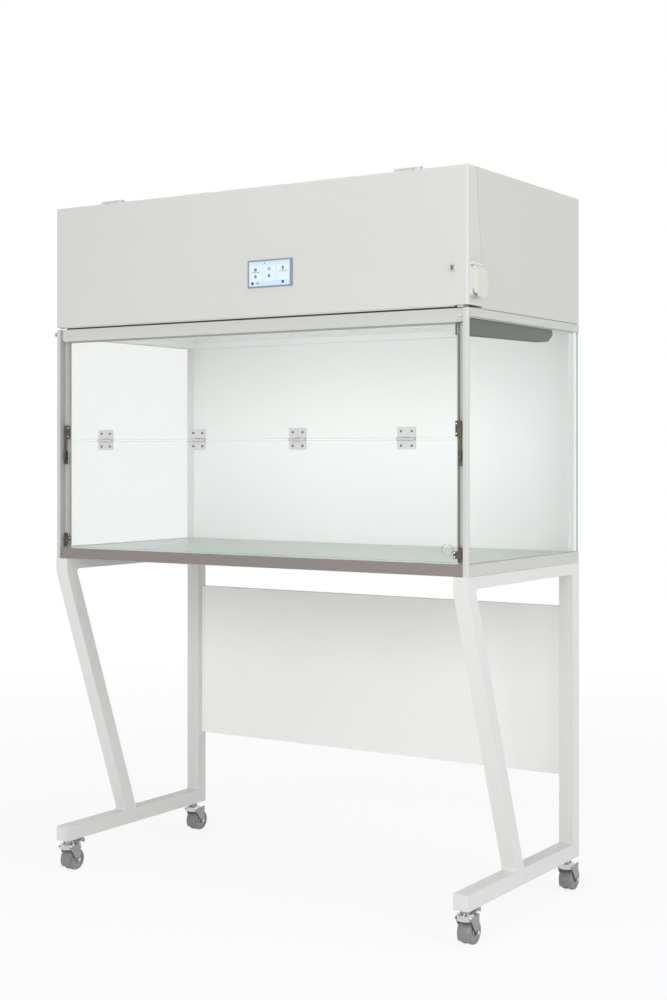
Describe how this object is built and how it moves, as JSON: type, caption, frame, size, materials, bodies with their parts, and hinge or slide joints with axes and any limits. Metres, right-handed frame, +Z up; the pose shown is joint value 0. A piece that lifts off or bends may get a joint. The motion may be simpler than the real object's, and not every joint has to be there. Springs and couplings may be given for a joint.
{
  "type": "laminar flow hood",
  "caption": "Horizontal bench hood on a wheeled tube stand: glass-sided work chamber with a folding window under a filtered-air housing with a lift-up front cover.",
  "frame": {"origin": "middle of the bounding box, on the floor under the wheels", "axes": "+X to the right along the front, +Y from the front to the back, +Z up"},
  "size_m": [1.336, 0.657, 1.8717],
  "materials": {
    "stand_paint": "smooth white powder coat",
    "panel_paint": "smooth white powder coat",
    "cabinet_paint": "fine textured pale grey powder coat",
    "casing_paint": "fine textured pale grey powder coat",
    "inner_paint": "smooth white powder coat",
    "cap_plastic": "moulded plastic",
    "worktop_steel": "brushed stainless steel",
    "zinc_steel": "zinc plated",
    "hardware_steel": "satin",
    "chrome": "bright",
    "stem_steel": "black",
    "pedal": "moulded plastic",
    "wheel": "grey thermoplastic rubber",
    "side_glass": "clear float glass",
    "window_glass": "clear toughened glass",
    "lamp_glass": "frosted",
    "media": "pleated glass-fibre paper",
    "pad": "loose fibre pad",
    "impeller": "cast",
    "lamp_body": "satin dark grey",
    "bezel": "moulded plastic",
    "screen": "lit display",
    "cream_plastic": "moulded plastic",
    "brass": "aged"
  },
  "bodies": {
    "cabinet": {"side_frame_left": "stand_paint", "side_frame_right": "stand_paint", "rail_end_caps": "cap_plastic", "modesty_panel": "panel_paint", "caster_stems": "stem_steel", "base_frame": "cabinet_paint", "worktop": "worktop_steel", "front_post_left": "cabinet_paint", "front_post_right": "cabinet_paint", "side_glass_left": "side_glass", "side_glass_right": "side_glass", "back_panel": "inner_paint", "plenum_frame": "cabinet_paint", "housing_casing": "casing_paint", "plenum_front_panel": "casing_paint", "filter_frame": "zinc_steel", "filter_media": "media", "diffuser": "inner_paint", "inlet_grille": "cabinet_paint", "prefilter_pad": "pad", "fan_deck": "zinc_steel", "fan_motor": "stem_steel", "control_box": "cabinet_paint", "lamp_housing": "lamp_body", "lamp_tube": "lamp_glass", "cover_hinge_brackets": "hardware_steel", "cover_hinge_pins": "zinc_steel", "sash_pivot_pins": "hardware_steel", "sash_stop_block": "cream_plastic", "catch_bodies": "brass", "catch_balls": "chrome"},
    "cover": {"front_cover": "cabinet_paint", "display_frame": "bezel", "display_screen": "screen", "lock_barrel": "chrome", "socket_base": "cream_plastic"},
    "lock": {"lock_plug": "chrome"},
    "lid": {"socket_lid": "cream_plastic"},
    "upper_sash": {"sash_top_rail": "cabinet_paint", "upper_pane": "window_glass", "window_hinge_upper_leaves": "hardware_steel", "window_hinge_pins": "zinc_steel", "upper_strikers": "hardware_steel"},
    "lower_sash": {"lower_pane": "window_glass", "window_hinge_lower_leaves": "hardware_steel", "lower_strikers": "brass"},
    "fan": {"fan_impeller": "impeller"},
    "swivel_fl": {"caster_fork_fl": "chrome"},
    "wheels_fl": {"caster_wheels_fl": "wheel"},
    "pedal_fl": {"brake_pedal_fl": "pedal"},
    "swivel_fr": {"caster_fork_fr": "chrome"},
    "wheels_fr": {"caster_wheels_fr": "wheel"},
    "pedal_fr": {"brake_pedal_fr": "pedal"},
    "swivel_rl": {"caster_fork_rl": "chrome"},
    "wheels_rl": {"caster_wheels_rl": "wheel"},
    "swivel_rr": {"caster_fork_rr": "chrome"},
    "wheels_rr": {"caster_wheels_rr": "wheel"}
  },
  "joints": [
    {"name": "cover_hinge", "type": "hinge", "parent": "cabinet", "child": "cover", "pos_m": [-0.004, -0.2955, 1.867], "axis": [-1, 0, 0], "range_deg": [0, 80]},
    {"name": "lock_turn", "type": "hinge", "parent": "cover", "child": "lock", "pos_m": [0.604, -0.3255, 1.616], "axis": [0, 1, 0], "range_deg": [0, 90]},
    {"name": "socket_lid_hinge", "type": "hinge", "parent": "cover", "child": "lid", "pos_m": [0.656, -0.2905, 1.625], "axis": [0, -1, 0], "range_deg": [0, 100], "stiffness_Nm_per_rad": 0.05, "springref_deg": -17.19},
    {"name": "upper_sash_pivot", "type": "hinge", "parent": "cabinet", "child": "upper_sash", "pos_m": [-0.004, -0.311, 1.508], "axis": [-1, 0, 0], "range_deg": [0, 75]},
    {"name": "lower_sash_fold", "type": "hinge", "parent": "upper_sash", "child": "lower_sash", "pos_m": [-0.004, -0.319, 1.209], "axis": [-1, 0, 0], "range_deg": [0, 180]},
    {"name": "fan_spin", "type": "hinge", "parent": "cabinet", "child": "fan", "pos_m": [-0.004, 0.0345, 1.74], "axis": [0, 0, 1], "continuous": true},
    {"name": "swivel_fl_turn", "type": "hinge", "parent": "cabinet", "child": "swivel_fl", "pos_m": [-0.634, -0.3005, 0.088], "axis": [0, 0, 1], "continuous": true},
    {"name": "wheels_fl_roll", "type": "hinge", "parent": "swivel_fl", "child": "wheels_fl", "pos_m": [-0.634, -0.2785, 0.03], "axis": [1, 0, 0], "continuous": true},
    {"name": "pedal_fl_press", "type": "hinge", "parent": "swivel_fl", "child": "pedal_fl", "pos_m": [-0.634, -0.2735, 0.07], "axis": [-1, 0, 0], "range_deg": [0, 12]},
    {"name": "swivel_fr_turn", "type": "hinge", "parent": "cabinet", "child": "swivel_fr", "pos_m": [0.626, -0.3005, 0.088], "axis": [0, 0, 1], "continuous": true},
    {"name": "wheels_fr_roll", "type": "hinge", "parent": "swivel_fr", "child": "wheels_fr", "pos_m": [0.626, -0.2785, 0.03], "axis": [1, 0, 0], "continuous": true},
    {"name": "pedal_fr_press", "type": "hinge", "parent": "swivel_fr", "child": "pedal_fr", "pos_m": [0.626, -0.2735, 0.07], "axis": [-1, 0, 0], "range_deg": [0, 12]},
    {"name": "swivel_rl_turn", "type": "hinge", "parent": "cabinet", "child": "swivel_rl", "pos_m": [-0.634, 0.2765, 0.088], "axis": [0, 0, 1], "continuous": true},
    {"name": "wheels_rl_roll", "type": "hinge", "parent": "swivel_rl", "child": "wheels_rl", "pos_m": [-0.634, 0.2985, 0.03], "axis": [1, 0, 0], "continuous": true},
    {"name": "swivel_rr_turn", "type": "hinge", "parent": "cabinet", "child": "swivel_rr", "pos_m": [0.626, 0.2765, 0.088], "axis": [0, 0, 1], "continuous": true},
    {"name": "wheels_rr_roll", "type": "hinge", "parent": "swivel_rr", "child": "wheels_rr", "pos_m": [0.626, 0.2985, 0.03], "axis": [1, 0, 0], "continuous": true}
  ]
}
